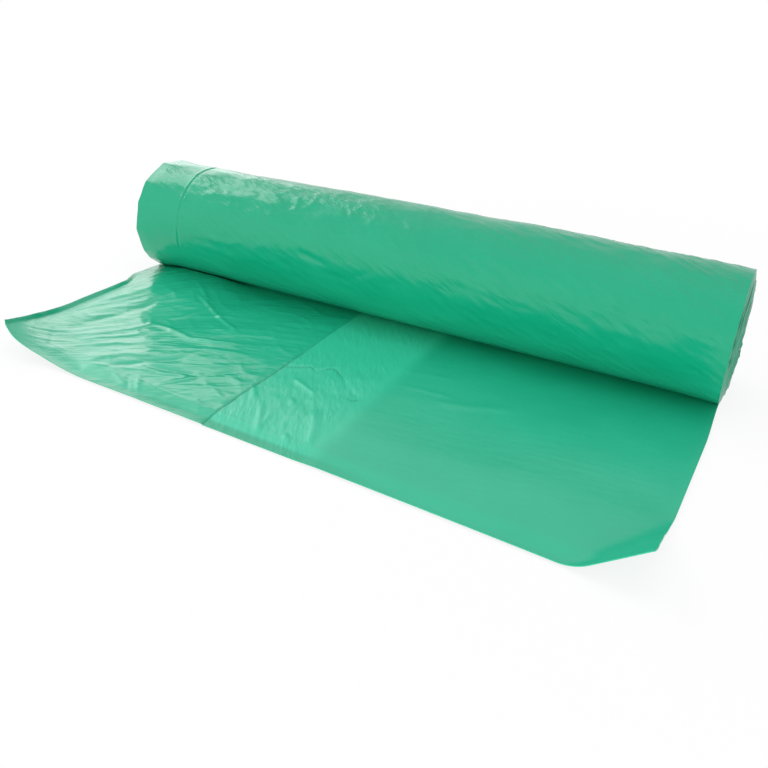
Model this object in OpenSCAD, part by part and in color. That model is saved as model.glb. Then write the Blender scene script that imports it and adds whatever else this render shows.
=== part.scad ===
// Roll of gusseted bin bags, wound without a core, with the outer end pulled out.
// The whole roll is one continuous web of film. X runs along the roll, the loose end
// lies towards -Y, and the origin is in the middle of the flat spot under the roll.

/* [Roll] */
// Length of the roll, which is the width of the folded web
roll_len = 330; // [260:5:480]
// Diameter of the wound roll at its fattest place
roll_dia = 63.6; // [50:0.2:90]
// Distance from the left end to the fattest place
fat_at = 190; // [130:5:200]
// How much the radius falls off at the left end
left_slim = 1; // [0:0.1:3]
// How much the radius falls off at the right end
right_slim = 1.1; // [0:0.1:3]
// How much the right end is squeezed taller than it is wide
right_squeeze = 1; // [0:0.1:2]
// Width of the flat spot that the roll's weight presses into it
flat_w = 12; // [8:1:18]
// Height of the soft dents in the outer turns
dent_h = 0.25; // [0:0.05:0.6]

/* [Crease round the roll] */
// Distance of the crease from the left end
ring_at = 30; // [15:1:45]
// Width of the crease
ring_w = 2.6; // [1.5:0.1:5]
// Depth of the crease
ring_depth = 0.6; // [0:0.1:1.5]

/* [Turns on the ends] */
// Number of bundles of turns that show as separate layers on each end
turn_count = 9; // [6:1:10]
// Radius of the eye in the middle, which has no core
eye_r = 2.8; // [2:0.1:5]
// Depth of the eye
eye_depth = 5; // [2:0.5:12]
// Depth of the gaps between the layers
gap_depth = 2.2; // [0.5:0.1:4]
// Share of a layer's pitch that the gap takes
gap_share = 0.26; // [0.15:0.01:0.5]
// How far the inner turns have slipped to the right
slip = 2.3; // [0:0.1:5]
// How far single layers stand out of line
stagger = 0.5; // [0:0.1:1.2]

/* [Loose end] */
// Distance from the roll's axis to the left front corner, before it curls
left_reach = 154.8; // [110:0.5:260]
// Distance from the roll's axis to the right front corner, before it curls
right_reach = 171.9; // [110:0.5:260]
// How far the front edge bows out between its corners
front_bow = -1.5; // [-4:0.5:6]
// How far the front edge bulges out near its left corner
corner_bulge = 4.5; // [0:0.1:8]
// How far the left edge leans in at the front
left_lean = 28.3; // [0:0.1:40]
// How fast the left edge leans in: 1 is a straight line
lean_power = 1.67; // [1:0.01:2.5]
// How far the left edge is drawn in near the roll
left_pucker = 5.3; // [0:0.1:8]
// How far the right edge spreads at the front
right_spread = 6.3; // [0:0.1:12]
// Thickness of one ply of film, with the air that lies in it
ply = 0.2; // [0.15:0.01:0.35]
// Height of the gentle waves in which the film lies
swell_h = 1.1; // [0:0.1:2.5]
// Length of those waves across the web
swell_len = 96; // [60:2:160]
// How far the left edge stands up from the table
edge_lift = 1.6; // [0:0.1:4]

/* [Folds] */
// Width of the left gusset, where the web is four plies thick
left_gusset_w = 140; // [90:1:150]
// Width of the middle band between the gussets, two plies thick
band_w = 51; // [20:1:70]
// How far the gusset folds drift sideways at the front
fold_drift = 11; // [0:1:20]
// Width of the step at each gusset fold
fold_step_w = 0.8; // [0.5:0.1:2]
// Distance of the bottom seal from the front edge
seal_inset = 11.5; // [8:0.5:25]
// Width of the seal's ridge
seal_w = 2.6; // [1.5:0.1:4]
// Height of the seal's ridge
seal_h = 0.35; // [0:0.05:0.8]

/* [Curled corners] */
// How far from the left corner the film starts to curl up
left_curl_reach = 36; // [10:0.1:50]
// Radius of the left curl
left_curl_r = 45.9; // [30:0.1:90]
// Direction of the left curl, as an angle from +X
left_curl_dir = -131; // [-170:1:-100]
// How far from the right corner the film starts to curl up
right_curl_reach = 35.1; // [10:0.1:60]
// Radius of the right curl
right_curl_r = 17.2; // [12:0.1:60]
// Direction of the right curl, as an angle from +X
right_curl_dir = -10; // [-60:1:-5]
// Angle at which the right curl ends and runs on straight
right_curl_rise = 37; // [10:1:80]

/* [Hidden] */

film_green = [0.10, 0.66, 0.48];

// Steps round the roll, and even steps along the loose end before the seal
round_steps = 40;
loose_steps = 10;
// Widest spacing of the sections across the web
section_pitch = 9;
// Powers that shape the roll's fall-off towards its two ends
left_fall = 1.5;
right_fall = 3.5;
// Length over which the right end's squeeze builds up
squeeze_len = 40;
// Dents round the roll, and how far they turn for each millimetre along it, in degrees
dent_count = 3;
dent_twist = 2.4;
// How far the waves of the loose end run askew, in degrees, and the share where they end
swell_skew = 150;
swell_end = 0.95;
// Width of the calm strip along each side edge, and of the strip that stands up
calm_w = 15;
lift_w = 12;
// Share of the loose end's length over which the left edge rises, from the first to the second
lift_from = 0.1;
lift_to = 0.35;
// Shares between which the left edge is drawn in, where it is furthest in, and where that ends
pucker_from = 0.18;
pucker_peak = 0.31;
pucker_to = 0.72;
// Place and width of the front edge's bulge
bulge_at = 14;
bulge_w = 13;
// Angle at which the left curl ends, past its corner
left_curl_rise = 90;
// Plies in a gusset and in the middle band
gusset_plies = 4;
band_plies = 2;
// Turns over which the slip builds up, and the angle from one layer's stagger to the next
slip_turns = 3;
stagger_angle = 155;
// Steps over which the first gap deepens from the nip
gap_steps = 6;

left_end = -roll_len / 2;
left_fold = left_gusset_w;
right_fold = left_gusset_w + band_w;

function quad(a, b, c, d) = [[a, b, c], [a, c, d]];
function share_of(v, from, to) = min(1, max(0, (v - from) / (to - from)));
function ease(v, from, to) = let (q = share_of(v, from, to)) q * q * (3 - 2 * q);

// Positions between two places, evenly spread and no further apart than section_pitch,
// without the last one
function spread(from, to) =
    let (n = ceil((to - from) / section_pitch))
    [for (i = [0 : n - 1]) from + (to - from) * i / n];

// Sections across the web, as distances from its left edge
sections = concat(
    spread(0, ring_at - ring_w / 2),
    [ring_at - ring_w / 2, ring_at],
    spread(ring_at + ring_w / 2, left_fold - fold_step_w / 2),
    [left_fold - fold_step_w / 2],
    spread(left_fold + fold_step_w / 2, right_fold - fold_step_w / 2),
    [right_fold - fold_step_w / 2],
    spread(right_fold + fold_step_w / 2, roll_len),
    [roll_len]);
last_section = len(sections) - 1;

// Thickness of the web at a distance s across it, with a step at each gusset fold
function web_thick(s) =
    let (past_fold = min(s - left_fold, right_fold - s) / fold_step_w + 0.5)
    ply * (gusset_plies - (gusset_plies - band_plies) * min(1, max(0, past_fold)));

// Radius of the roll: a slight barrel, with a crease round it near the left end
function barrel(s) = s < fat_at
    ? left_slim * pow((fat_at - s) / fat_at, left_fall)
    : right_slim * pow((s - fat_at) / (roll_len - fat_at), right_fall);
function crease(s) = ring_depth * max(0, 1 - abs(s - ring_at) / (ring_w / 2));
function roll_r(s) = roll_dia / 2 - barrel(s) - crease(s);
function axis_z(s) = sqrt(pow(roll_r(s), 2) - pow(flat_w / 2, 2));

// Where the roll meets the top of the loose end, as an angle seen from +X and as a Y
function nip_angle(s) =
    let (drop = axis_z(s) - web_thick(s))
    atan2(-drop, -sqrt(pow(roll_r(s), 2) - pow(drop, 2)));
function nip_y(s) = roll_r(s) * cos(nip_angle(s));

// Outline of the roll at step j from under the nip, round the back and down to the nip
function turn_angle(s, j) = nip_angle(s) + 360 * j / round_steps;
function dent(s, j) =
    dent_h * sin(180 * j / round_steps) * sin(360 * dent_count * j / round_steps + dent_twist * s);
function squeeze(s, a) =
    -right_squeeze * pow(share_of(s, roll_len - squeeze_len, roll_len), 2) * cos(2 * a);
function wrap_r(s, j) =
    let (a = turn_angle(s, j),
         whole = roll_r(s) + dent(s, j) + squeeze(s, a),
         to_table = axis_z(s) / max(0.01, -sin(a)))
    a < -90 ? to_table : a < 0 ? min(whole, to_table) : whole;
function on_roll(s, j, r, x) =
    let (a = turn_angle(s, j))
    [x, r * cos(a), axis_z(s) + r * sin(a)];

// The loose end laid flat: its reach at s, and the sideways lean of its edges and folds at
// a share t of its length
function reach(s) =
    let (u = s / roll_len)
    left_reach + (right_reach - left_reach) * u + front_bow * 4 * u * (1 - u)
    + corner_bulge * exp(-pow((s - bulge_at) / bulge_w, 2));
function pucker(t) =
    left_pucker * ease(t, pucker_from, pucker_peak) * (1 - ease(t, pucker_peak, pucker_to));
function lean(s, t) =
    let (edge_l = left_lean * pow(t, lean_power) + pucker(t),
         edge_r = right_spread * t,
         mid = fold_drift * t)
    s < left_fold ? edge_l + (mid - edge_l) * s / left_fold
    : s < right_fold ? mid
    : mid + (edge_r - mid) * (s - right_fold) / (roll_len - right_fold);
function laid(s, t) = [left_end + s + lean(s, t), nip_y(s) - (reach(s) + nip_y(s)) * t];

// Rows along the loose end, as shares of its length: even ones, the seal, and the hem
function rows(s) =
    let (free = reach(s) + nip_y(s), inner = 1 - (seal_inset + seal_w / 2) / free)
    concat(
        [for (k = [0 : loose_steps]) inner * k / loose_steps],
        [1 - seal_inset / free, 1 - (seal_inset - seal_w / 2) / free, 1 - seal_inset / 2 / free, 1]);
last_row = loose_steps + 4;
seal_row = loose_steps + 1;

// Heights of the waves, of the left edge and of the seal's ridge
function swell(s, t) =
    swell_h * sin(180 * min(1, t / swell_end)) * (1 + sin(360 * s / swell_len + swell_skew * t)) / 2
    * share_of(min(s, roll_len - s), 0, calm_w);
function lift(s, t) = edge_lift * ease(t, lift_from, lift_to) * (1 - share_of(s, 0, lift_w));
function seal_rise(k) = k == seal_row ? seal_h : 0;

// Shift that a curl gives a point that lies at height h above the flat web: it bends up to
// the angle rise, and runs on straight past that
function curl(p, corner, dir, curl_reach, r, rise, h) =
    let (along = [cos(dir), sin(dir)],
         past = max(0, (p - corner) * along + curl_reach),
         a = min(rise, past / r * 180 / PI),
         straight = past - r * a * PI / 180,
         shift = (r - h) * sin(a) + straight * cos(a) - past)
    past == 0 ? [0, 0, 0]
    : [along.x * shift, along.y * shift, (r - h) * (1 - cos(a)) + straight * sin(a)];
left_corner = laid(0, 1);
right_corner = laid(roll_len, 1);

// A point of the loose end in row k, on the underside (side 0) or on top (side 1)
function on_web(s, k, side) =
    let (t = rows(s)[k],
         p = laid(s, t),
         h = swell(s, t) + lift(s, t) + side * (web_thick(s) + seal_rise(k)))
    [p.x, p.y, h]
    + curl(p, left_corner, left_curl_dir, left_curl_reach, left_curl_r, left_curl_rise, h)
    + curl(p, right_corner, right_curl_dir, right_curl_reach, right_curl_r, right_curl_rise, h);

// One section: the underside from the front edge in, round the roll, and out along the top
function section(s) = concat(
    [for (k = [last_row : -1 : 1]) on_web(s, k, 0)],
    [for (j = [0 : round_steps]) on_roll(s, j, wrap_r(s, j), left_end + s)],
    [for (k = [1 : last_row]) on_web(s, k, 1)]);
section_size = 2 * last_row + round_steps + 1;
function at_loop(i, n) = i * section_size + n % section_size;
function at_roll(i, j) = at_loop(i, last_row + j);
function at_under(i, k) = at_loop(i, last_row - k);
function at_top(i, k) = at_loop(i, last_row + round_steps + k);

// Each end is a spiral strip. Step n of it, from 0 at the nip, lies one layer inside step
// n - round_steps, and the steps before 0 are the roll's own outline.
spiral_steps = turn_count * round_steps;
inner_step = spiral_steps - round_steps;
// Places across a layer: the inner edge of its crest, and the bottom of the gap
crest_in = 1 - gap_share;
gap_mid = 1 - gap_share / 2;
// Points on one end: the crests' outer edges, two more in each layer, and the eye
end_size = spiral_steps + 2 * (spiral_steps + 1) + 1;
function at_spiral(i, base, n, line) =
    line == 3 ? at_spiral(i, base, n + round_steps, 0)
    : line > 0 ? base + spiral_steps + 2 * (n + round_steps) + line - 1
    : n <= 0 ? at_roll(i, n + round_steps)
    : base + n - 1;

// Radius of the spiral at step n, on the end that lies at a distance s across the web
function spiral_r(s, n) =
    let (j = (n + round_steps) % round_steps,
         edge = roll_r(s),
         lap = web_thick(s) * (1 - j / round_steps),
         depth = (edge - eye_r) / turn_count * n / round_steps + lap)
    n < 0 ? wrap_r(s, j) : n == 0 ? edge : wrap_r(s, j) * (1 - depth / (edge + lap));
// How far the layer at step n stands off the end's plane, towards +X
function slipped(n) =
    let (turn = max(0, n / round_steps))
    min(1, turn / slip_turns) * (slip + stagger * sin(stagger_angle * turn));

function end_point(s, n, share, sink) =
    let (r = spiral_r(s, n) * (1 - share) + spiral_r(s, n + round_steps) * share,
         inward = s == 0 ? 1 : -1)
    on_roll(s, (n + round_steps) % round_steps, r, left_end + s + slipped(n) + inward * sink);
function end_points(s) = concat(
    [for (n = [1 : spiral_steps]) end_point(s, n, 0, 0)],
    [for (n = [-round_steps : inner_step])
        each [end_point(s, n, crest_in, 0),
              end_point(s, n, gap_mid, gap_depth * min(1, (n + round_steps) / gap_steps))]],
    [[left_end + s + slip + (s == 0 ? eye_depth : -eye_depth), 0, axis_z(s)]]);

// Faces of the end at section i, whose own points start at base
function end_faces(i, base) =
    let (eye = base + end_size - 1)
    concat(
        // layers and the gaps between them
        [for (n = [-round_steps : inner_step - 1], line = [0 : 2])
            each quad(
                at_spiral(i, base, n, line), at_spiral(i, base, n, line + 1),
                at_spiral(i, base, n + 1, line + 1), at_spiral(i, base, n + 1, line))],
        // funnel of the eye, and the edge of the innermost layer
        [for (n = [inner_step : spiral_steps - 1])
            [at_spiral(i, base, n, 0), eye, at_spiral(i, base, n + 1, 0)]],
        [for (line = [0 : 2])
            [at_spiral(i, base, inner_step, line + 1), eye, at_spiral(i, base, inner_step, line)]],
        // side edge of the loose end, closed against the outermost layer
        [for (k = [1 : last_row - 1])
            each quad(at_under(i, k), at_under(i, k + 1), at_top(i, k + 1), at_top(i, k))],
        [[at_top(i, 1), at_roll(i, 0), at_under(i, 1)]],
        [for (line = [0 : 2])
            [at_top(i, 1), at_spiral(i, base, -round_steps, line + 1),
             at_spiral(i, base, -round_steps, line)]]);

module bag_roll() {
    skin_points = [for (s = sections) each section(s)];
    skin_faces = [
        for (i = [0 : last_section - 1], n = [0 : section_size - 1])
            each quad(at_loop(i, n), at_loop(i + 1, n), at_loop(i + 1, n + 1), at_loop(i, n + 1))];
    left_base = len(skin_points);
    right_base = left_base + end_size;
    color(film_green)
        polyhedron(
            points = concat(skin_points, end_points(0), end_points(roll_len)),
            faces = concat(
                skin_faces,
                [for (face = end_faces(0, left_base)) [face[2], face[1], face[0]]],
                end_faces(last_section, right_base)),
            convexity = 12);
}

bag_roll();
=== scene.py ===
"""Finish for a roll of gusseted bin bags: satin green film, its wrinkles, folds and wound turns."""
import math

import bmesh
import bpy
import numpy as np
from bpy.props import FloatProperty, FloatVectorProperty, IntProperty, PointerProperty
from mathutils import Matrix, Vector


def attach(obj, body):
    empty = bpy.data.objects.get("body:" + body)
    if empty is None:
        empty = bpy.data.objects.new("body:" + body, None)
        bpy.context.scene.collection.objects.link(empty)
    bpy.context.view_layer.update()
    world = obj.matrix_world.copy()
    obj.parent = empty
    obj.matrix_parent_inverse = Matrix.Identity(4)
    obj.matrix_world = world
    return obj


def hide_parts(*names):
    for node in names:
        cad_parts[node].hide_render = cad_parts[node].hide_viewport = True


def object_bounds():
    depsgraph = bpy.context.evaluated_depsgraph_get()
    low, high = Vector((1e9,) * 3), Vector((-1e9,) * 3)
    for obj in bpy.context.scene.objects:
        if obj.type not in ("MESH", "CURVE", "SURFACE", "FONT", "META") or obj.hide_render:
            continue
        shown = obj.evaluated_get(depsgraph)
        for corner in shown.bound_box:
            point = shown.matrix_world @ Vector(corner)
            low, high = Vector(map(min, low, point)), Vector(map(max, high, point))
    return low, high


bl_info = {
    "name": "Bin Bag Roll",
    "version": (1, 0, 0),
    "blender": (4, 5, 0),
    "location": "3D View > Sidebar > Bag Roll",
    "description": "Wound film, loose end and studio for a roll of bin bags",
    "category": "Object",
}

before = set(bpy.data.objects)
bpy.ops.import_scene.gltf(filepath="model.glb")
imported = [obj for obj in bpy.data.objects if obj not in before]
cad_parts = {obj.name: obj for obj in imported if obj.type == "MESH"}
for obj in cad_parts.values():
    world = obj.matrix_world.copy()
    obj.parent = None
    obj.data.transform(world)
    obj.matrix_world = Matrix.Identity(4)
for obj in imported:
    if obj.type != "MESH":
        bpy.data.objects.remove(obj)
cad_low, cad_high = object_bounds()
NODE = "bag_roll"
MM = 0.001
# Points of a piece that lie this close are the same point, in metres
SAME_PLACE = 1e-6
# Edges bent further than this are shaded as crisp folds
CRISP_ANGLE = math.radians(48)

# Wrinkles pressed into the loose end: a line of points in millimetres on the flat web, its
# height (a groove is negative) and its width
LOOSE_WRINKLES = (
    (((-137, -55), (-131, -50)), 0.4, 2.2),
    (((-121, -32), (-96, -53)), 0.4, 2.2),
    (((-114, -121), (-106, -106), (-99, -92)), 0.5, 2.2),
    (((-112, -127), (-102, -114), (-94, -102)), 0.45, 2.2),
    (((-105, -131), (-97, -122), (-84, -112)), 0.5, 2.4),
    (((-128, -114), (-122, -90), (-119, -61)), -0.6, 4.0),
    (((-106, -92), (-92, -92), (-72, -97), (-59, -94), (-38, -82)), 0.5, 2.6),
    (((-101, -83), (-95, -76), (-91, -57)), 0.45, 2.4),
    (((-93, -72), (-82, -64), (-71, -58)), 0.45, 2.0),
    (((-72, -97), (-60, -93), (-49, -88)), 0.45, 2.0),
    (((-61, -104), (-51, -101), (-42, -97)), 0.4, 2.0),
    (((-95, -143), (-84, -129), (-70, -118)), 0.6, 4.2),
    (((-83, -146), (-70, -130), (-57, -116)), -0.6, 3.2),
    (((-109, -47), (-87, -60), (-56, -79)), 0.6, 1.8),
    (((-68, -144), (-55, -159)), -0.35, 1.6),
    (((-64, -142), (-51, -157)), 0.3, 1.6),
    (((-52, -148), (-46, -138), (-41, -128)), 0.45, 2.2),
    (((-68, -133), (-41, -128), (-31, -113)), -0.5, 2.2),
    (((-44, -130), (-35, -120)), 0.4, 2.4),
    (((-145, -128), (-137, -137), (-129, -145)), 0.2, 2.2),
    (((-130, -129), (-121, -139), (-112, -149)), -0.3, 2.6),
    (((-20, -94), (-16, -94), (-8, -88), (-3, -92)), -0.12, 1.0),
    (((-2, -89), (0, -84), (3, -84), (13, -93)), -0.1, 1.0),
    (((22, -108), (26, -109), (28, -106)), -0.1, 1.0),
    (((-8, -103), (10, -113)), 0.5, 1.8),
    (((4, -122), (7, -128)), 0.4, 1.6),
    (((-4, -133), (2, -144), (8, -154)), 0.5, 1.8),
    (((4, -139), (8, -154)), 0.4, 1.6),
    (((17, -125), (26, -140), (31, -152)), 0.6, 2.4),
    (((18, -149), (25, -157)), 0.5, 1.8),
    (((-17, -121), (-10, -131)), 0.5, 2.2),
    (((-21, -92), (-9, -85), (-6, -89), (0, -81), (7, -78)), 0.2, 1.8),
    (((2, -83), (17, -97), (28, -106)), -0.2, 2.2),
    (((29, -69), (57, -62)), 0.2, 3.0),
    (((36, -83), (64, -80)), 0.2, 3.0),
    (((54, -90), (72, -83), (90, -73)), 0.35, 5.0),
)

# Wrinkles in the outer turn: a line of points, each its place along the roll in millimetres
# and its angle above the level of the axis on the front, then the height and the width
ROLL_WRINKLES = (
    (((-127, 44), (-105, 48), (-87, 54)), 0.45, 4.0),
    (((-90, 66), (-78, 57), (-66, 44)), 0.38, 1.6),
    (((-84, 50), (-70, 41), (-56, 40)), 0.33, 1.8),
    (((-64, 42), (-62, 54), (-65, 68)), 0.38, 1.6),
    (((-56, 74), (-54, 60), (-58, 47)), 0.33, 1.6),
    (((-38, 60), (-34, 52), (-30, 44)), 0.38, 1.5),
    (((-30, 45), (-29, 60), (-22, 70)), 0.38, 1.6),
    (((-22, 58), (-16, 46), (-2, 49)), 0.33, 1.6),
    (((-24, 80), (-12, 66), (-6, 52)), 0.30, 1.8),
    (((-86, 68), (-80, 62), (-71, 52)), 0.38, 1.5),
    (((-74, 72), (-68, 65), (-62, 57)), 0.38, 1.5),
    (((-86, 51), (-81, 48), (-75, 45)), 0.38, 1.5),
    (((-70, 43), (-63, 46), (-56, 50)), 0.33, 1.6),
    (((-68, 22), (-52, 37), (-47, 36)), 0.27, 2.0),
    (((-18, 45), (-15, 54)), 0.38, 1.4),
    (((-56, 8), (-45, 4), (-36, 0)), -0.68, 2.4),
    (((-40, -8), (-22, -10), (-9, 4)), -0.52, 2.8),
    (((-118, 2), (-100, -1), (-88, 6)), 0.45, 3.0),
    (((32, 38), (50, 21), (70, 8)), -0.52, 2.6),
    (((40, 40), (63, 22), (79, 7)), -0.45, 2.4),
    (((92, 42), (106, 35), (118, 23)), 0.38, 2.4),
    (((128, 90), (139, 75), (150, 62)), 0.60, 1.5),
    (((120, 88), (132, 74), (143, 60)), 0.52, 1.5),
)


class RollSizes(bpy.types.PropertyGroup):
    """Sizes of the wound part"""
    length: FloatProperty(
        name="Length", description="Length of the roll", default=-2 * cad_low.x, unit="LENGTH")
    diameter: FloatProperty(
        name="Diameter", description="Diameter at the fattest place", default=0.0636, unit="LENGTH")
    fat_at: FloatProperty(
        name="Fattest at", description="Distance of the fattest place from the left end",
        default=0.190, unit="LENGTH")
    left_slim: FloatProperty(
        name="Left fall-off", description="How much the radius falls off at the left end",
        default=0.0010, unit="LENGTH")
    right_slim: FloatProperty(
        name="Right fall-off", description="How much the radius falls off at the right end",
        default=0.0011, unit="LENGTH")
    rim_flats: FloatProperty(
        name="Rim flats", description="How far the corners of the left rim stand out",
        default=0.0012, unit="LENGTH")
    right_squeeze: FloatProperty(
        name="Right squeeze", description="How much the right end is taller than it is wide",
        default=0.0010, unit="LENGTH")
    flat_width: FloatProperty(
        name="Flat spot", description="Width of the flat spot underneath", default=0.012,
        unit="LENGTH")
    crease_at: FloatProperty(
        name="Crease at", description="Distance of the crease round the roll from the left end",
        default=0.030, unit="LENGTH")
    crease_depth: FloatProperty(
        name="Crease depth", description="Depth of the crease round the roll", default=0.0004,
        unit="LENGTH")
    layers: IntProperty(
        name="Layers", description="Bundles of turns that show on each end", default=9, min=3)
    eye_radius: FloatProperty(
        name="Eye", description="Radius of the eye in the middle", default=0.0028, unit="LENGTH")
    eye_depth: FloatProperty(
        name="Eye depth", description="Depth of the eye", default=0.005, unit="LENGTH")
    slip: FloatProperty(
        name="Slip", description="How far the inner turns have slipped to the right",
        default=0.0017, unit="LENGTH")


class LooseEndSizes(bpy.types.PropertyGroup):
    """Sizes of the loose end"""
    left_reach: FloatProperty(
        name="Left reach", description="From the roll's axis to the left front corner",
        default=0.1548, unit="LENGTH")
    right_reach: FloatProperty(
        name="Right reach", description="From the roll's axis to the right front corner",
        default=0.1716, unit="LENGTH")
    front_bow: FloatProperty(
        name="Front bow", description="How far the front edge bows out", default=-0.0015,
        unit="LENGTH")
    corner_bulge: FloatProperty(
        name="Corner bulge", description="How far the front edge bulges out near its left corner",
        default=0.0045, unit="LENGTH")
    left_lean: FloatProperty(
        name="Left lean", description="How far the left edge leans in at the front",
        default=0.0283, unit="LENGTH")
    lean_power: FloatProperty(
        name="Lean power", description="How fast the left edge leans in", default=1.67)
    left_pucker: FloatProperty(
        name="Left pucker", description="How far the left edge is drawn in near the roll",
        default=0.0053, unit="LENGTH")
    right_start: FloatProperty(
        name="Right start", description="How far the right edge stands out beside the nip",
        default=0.0014, unit="LENGTH")
    right_spread: FloatProperty(
        name="Right spread", description="How far the right edge spreads at the front",
        default=-0.0021, unit="LENGTH")
    side_flare: FloatProperty(
        name="Side flare", description="How far the right corner flares out sideways",
        default=0.0054, unit="LENGTH")
    front_flare: FloatProperty(
        name="Front flare", description="How far the right corner flares out at the front",
        default=0.0012, unit="LENGTH")
    gusset_width: FloatProperty(
        name="Left gusset", description="Width of the left gusset, four plies thick",
        default=0.140, unit="LENGTH")
    band_width: FloatProperty(
        name="Middle band", description="Width of the band between the gussets, two plies thick",
        default=0.051, unit="LENGTH")
    fold_drift: FloatProperty(
        name="Fold drift", description="How far the folds drift sideways at the front",
        default=0.011, unit="LENGTH")
    seal_inset: FloatProperty(
        name="Seal inset", description="Distance of the bottom seal from the front edge",
        default=0.0115, unit="LENGTH")
    ply: FloatProperty(
        name="Ply", description="Thickness of one ply with the air that lies in it",
        default=0.0002, unit="LENGTH")
    swell_height: FloatProperty(
        name="Wave height", description="Height of the gentle waves", default=0.0011,
        unit="LENGTH")
    swell_length: FloatProperty(
        name="Wave length", description="Length of the gentle waves", default=0.096,
        unit="LENGTH")
    edge_lift: FloatProperty(
        name="Edge lift", description="How far the left edge stands up from the table",
        default=0.0017, unit="LENGTH")
    puff: FloatProperty(
        name="Puff", description="Height of the film's rise beside the left edge, near the roll",
        default=0.0032, unit="LENGTH")
    loft: FloatProperty(
        name="Front loft", description="Height of the film just behind its front edge",
        default=0.0008, unit="LENGTH")
    left_curl_reach: FloatProperty(
        name="Left curl", description="How far from its corner the left curl starts",
        default=0.0360, unit="LENGTH")
    left_curl_radius: FloatProperty(
        name="Left curl radius", description="Radius of the left curl", default=0.0459,
        unit="LENGTH")
    left_curl_angle: FloatProperty(
        name="Left curl angle", description="Direction of the left curl",
        default=math.radians(-131), subtype="ANGLE")
    right_curl_reach: FloatProperty(
        name="Right curl", description="How far from its corner the right curl starts",
        default=0.0309, unit="LENGTH")
    right_curl_radius: FloatProperty(
        name="Right curl radius", description="Radius of the right curl", default=0.0158,
        unit="LENGTH")
    right_curl_angle: FloatProperty(
        name="Right curl angle", description="Direction of the right curl",
        default=math.radians(-31.2), subtype="ANGLE")
    right_curl_rise: FloatProperty(
        name="Right curl rise", description="Angle at which the right curl runs on straight",
        default=math.radians(40), subtype="ANGLE")


class FilmLook(bpy.types.PropertyGroup):
    """Colour and surface of the film"""
    deep: FloatVectorProperty(
        name="Deep green", description="Colour where many plies lie on each other",
        default=(0.003, 0.330, 0.178), subtype="COLOR", min=0, max=1)
    pale: FloatVectorProperty(
        name="Pale green", description="Colour where two plies lie on a pale surface",
        default=(0.035, 0.530, 0.325), subtype="COLOR", min=0, max=1)
    # Gap green is painted shade in the gaps between the turns on the roll's ends, in the left fold's
    # line and in the sharp creases; it also deepens the ends of the inner layers and the loose end's
    # left edge
    gap: FloatVectorProperty(
        name="Gap green", description="Colour deep between the turns",
        default=(0.000, 0.150, 0.075), subtype="COLOR", min=0, max=1)
    roughness: FloatProperty(
        name="Roughness", description="Roughness of the film", default=0.19, min=0, max=1)
    wrinkling: FloatProperty(
        name="Wrinkling", description="Strength of all wrinkles", default=1.0, min=0, max=3)


class StudioLook(bpy.types.PropertyGroup):
    """Lamps and floor"""
    floor: FloatVectorProperty(
        name="Floor", description="Colour of the floor", default=(0.95, 0.95, 0.95),
        subtype="COLOR", min=0, max=1)
    ambient: FloatProperty(
        name="Ambient", description="Strength of the even light", default=0.68, min=0)
    key_power: FloatProperty(
        name="Key lamp", description="Power of the soft box high on the left",
        default=4.6, subtype="POWER", min=0)
    side_power: FloatProperty(
        name="Side panel", description="Power of the wide panel low behind, on the left",
        default=4.0, subtype="POWER", min=0)
    front_power: FloatProperty(
        name="Front panel", description="Power of the wide panel in front",
        default=1.2, subtype="POWER", min=0)
    low_power: FloatProperty(
        name="Low strip", description="Power of the strip that lights the nip under the roll",
        default=9.5, subtype="POWER", min=0)
    top_power: FloatProperty(
        name="Top panel", description="Power of the panel above, which adds no reflection",
        default=3.8, subtype="POWER", min=0)


# Odd numbers that scatter the points of a lattice, so that their directions show no pattern,
# and how many directions there are
SCATTER_COLUMN = np.uint32(374761393)
SCATTER_ROW = np.uint32(668265263)
SCATTER_SEED = 97531
SCATTER_AGAIN = np.uint32(1274126177)
DIRECTIONS = 65536


def lattice_angle(i, j, seed):
    """A repeatable direction for each point of a square lattice"""
    n = i.astype(np.uint32) * SCATTER_COLUMN + j.astype(np.uint32) * SCATTER_ROW
    n = n + np.uint32(seed * SCATTER_SEED + 13)
    n = (n ^ (n >> np.uint32(13))) * SCATTER_AGAIN
    n = n ^ (n >> np.uint32(16))
    return (n & np.uint32(DIRECTIONS - 1)) * (2 * math.pi / DIRECTIONS)


def eased(share):
    """From 0 to 1 with no kink and no bend at either end"""
    return share * share * share * (share * (share * 6 - 15) + 10)


def soft_noise(u, v, seed):
    """Smooth noise from about -0.7 to 0.7, one swing for each unit of u and v"""
    i = np.floor(u).astype(np.int64)
    j = np.floor(v).astype(np.int64)
    du = u - i
    dv = v - j
    fade_u = eased(du)
    fade_v = eased(dv)
    rows = []
    for step_v in (0, 1):
        ends = []
        for step_u in (0, 1):
            angle = lattice_angle(i + step_u, j + step_v, seed)
            ends.append(np.cos(angle) * (du - step_u) + np.sin(angle) * (dv - step_v))
        rows.append(ends[0] + (ends[1] - ends[0]) * fade_u)
    return rows[0] + (rows[1] - rows[0]) * fade_v


def sharp_lines(u, v, seed, width=0.3):
    """Crisp ridges, 1 at the crest, where the soft noise changes sign"""
    near = np.clip(1 - np.abs(soft_noise(u, v, seed)) / width, 0, 1)
    return near * near


def swells(x, y, layers):
    """Soft rises and dents: each layer has a height, a length along x, a width and a seed"""
    return sum(height * soft_noise(x / length, y / width, seed)
               for height, length, width, seed in layers)


def ridges(x, y, layers):
    """Crisp ridges, from layers given as they are for swells"""
    return sum(height * sharp_lines(x / length, y / width, seed)
               for height, length, width, seed in layers)


def turned(x, y, degrees):
    """Coordinates along and across a direction"""
    c, s = math.cos(math.radians(degrees)), math.sin(math.radians(degrees))
    return x * c + y * s, y * c - x * s


def smooth_step(value, start, end):
    """From 0 at start to 1 at end, with no kink at either"""
    share = np.clip((value - start) / (end - start), 0, 1)
    return share * share * (3 - 2 * share)


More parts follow.
